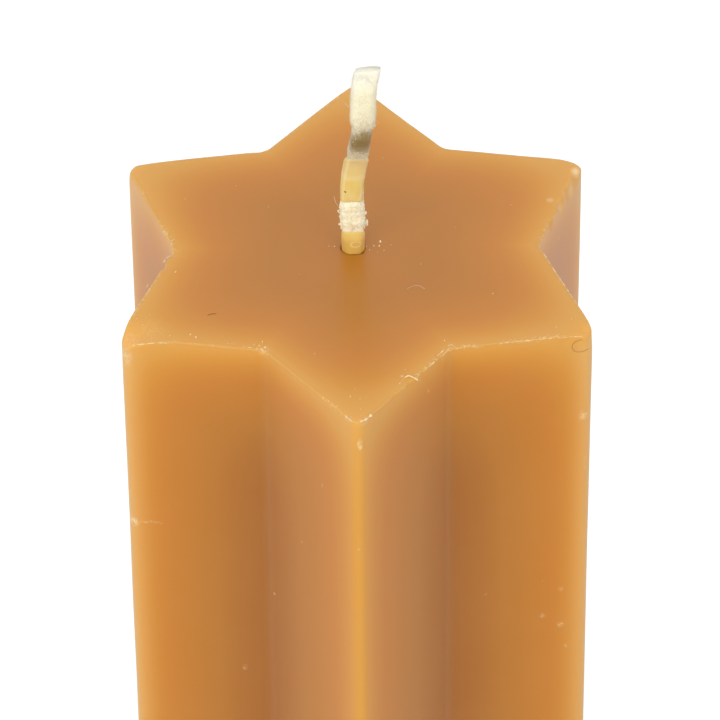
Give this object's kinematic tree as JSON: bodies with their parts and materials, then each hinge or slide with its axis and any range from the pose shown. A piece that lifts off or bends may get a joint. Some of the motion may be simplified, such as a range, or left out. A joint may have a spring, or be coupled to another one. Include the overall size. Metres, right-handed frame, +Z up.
{
  "type": "pillar candle",
  "caption": "Star-shaped beeswax pillar candle with a flat top, slightly drafted sides and an unburnt braided cotton wick.",
  "frame": {"origin": "middle of the base, on the surface that the candle stands on", "axes": "+Z up along the candle's axis; one tip of the star points to -Y, the side that faces the picture's camera, and +X is to the right in the picture"},
  "size_m": [0.067, 0.0768, 0.1998],
  "materials": {
    "wax": "satin natural beeswax, translucent at its edges",
    "wax_coat": "thin satin beeswax coat on cotton, translucent yellow",
    "cotton": "undyed square-braided cotton, fuzzy where bare",
    "tinned_steel": "pressed tinned sheet"
  },
  "bodies": {
    "root": {"wax_body": "wax", "wick": "cotton", "wick_wax_coat_lower": "wax_coat", "wick_wax_coat_upper": "wax_coat", "wick_tab": "tinned_steel"}
  },
  "joints": []
}
